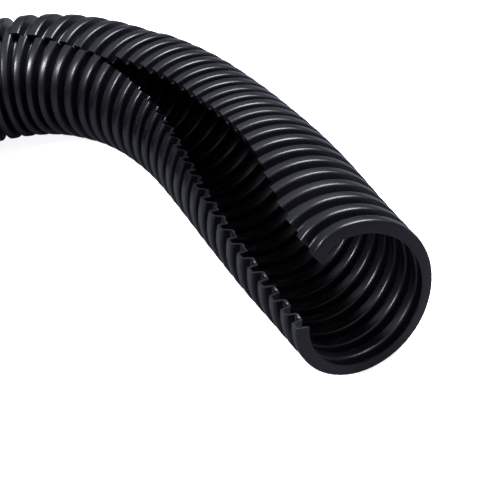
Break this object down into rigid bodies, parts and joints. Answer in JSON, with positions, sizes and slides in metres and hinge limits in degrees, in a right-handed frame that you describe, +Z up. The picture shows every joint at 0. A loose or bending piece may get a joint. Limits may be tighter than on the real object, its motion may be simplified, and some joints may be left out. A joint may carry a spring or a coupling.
{
  "type": "corrugated conduit",
  "caption": "Split corrugated plastic conduit, a thin waved tube slit along its length so cables can be pushed in; one end is bent with its slit open and the rest runs straight",
  "frame": {"origin": "middle of the bounding box, at the ground the conduit lies on", "axes": "X along the straight run, whose cut end is at -X; Z up from the ground; at +X the conduit bends round and its open end faces -Y"},
  "size_m": [0.9214, 0.1469, 0.034],
  "materials": {
    "conduit": "satin black moulded plastic"
  },
  "bodies": {
    "root": {"conduit": "conduit"}
  },
  "joints": []
}
